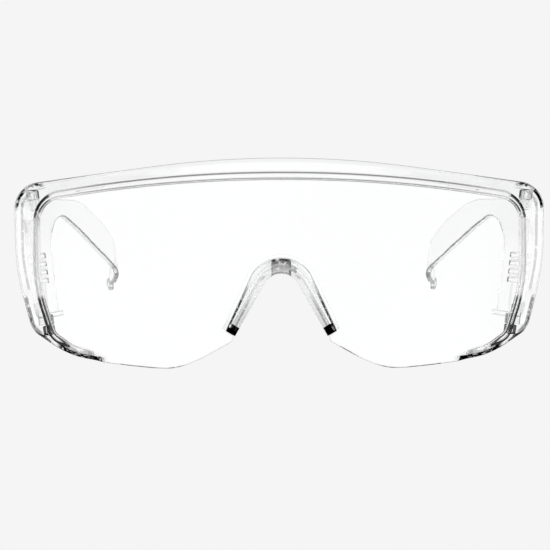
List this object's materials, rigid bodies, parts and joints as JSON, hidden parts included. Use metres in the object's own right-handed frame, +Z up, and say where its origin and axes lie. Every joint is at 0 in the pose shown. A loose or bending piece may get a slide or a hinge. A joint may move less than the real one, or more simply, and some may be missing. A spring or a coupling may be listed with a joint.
{
  "type": "safety overglasses",
  "caption": "Clear wraparound safety overglasses with a rimmed lens, a clip-in nose bridge and folding vented side-shield temples.",
  "frame": {"origin": "on the table, below the middle of the glasses' box, as they lie open on the lens's lower edge and the temple tips", "axes": "+X to the viewer's right as they face the lens, -Y towards that viewer, +Y along the temples to their tips, +Z up; left and right nodes are named as that viewer sees them"},
  "size_m": [0.159, 0.1658, 0.0608],
  "materials": {
    "clear_lens": "clear polished polycarbonate with a hard coat",
    "clear_bridge": "clear glossy moulded plastic",
    "clear_temple": "clear glossy moulded polycarbonate",
    "clear_pin": "clear glossy plastic pin"
  },
  "bodies": {
    "front": {"lens": "clear_lens", "nose_bridge": "clear_bridge", "hinge_pin_left_upper": "clear_pin", "hinge_pin_left_lower": "clear_pin", "hinge_pin_right_upper": "clear_pin", "hinge_pin_right_lower": "clear_pin"},
    "left_temple": {"left_temple": "clear_temple"},
    "right_temple": {"right_temple": "clear_temple"}
  },
  "joints": [
    {"name": "left_temple_fold", "type": "hinge", "parent": "front", "child": "left_temple", "pos_m": [-0.0716, -0.05862, 0.02831], "axis": [0.1219, -0.1266, -0.9844], "range_deg": [0, 86]},
    {"name": "right_temple_fold", "type": "hinge", "parent": "front", "child": "right_temple", "pos_m": [0.0716, -0.05862, 0.02831], "axis": [0.1219, 0.1266, 0.9844], "range_deg": [0, 78]}
  ]
}
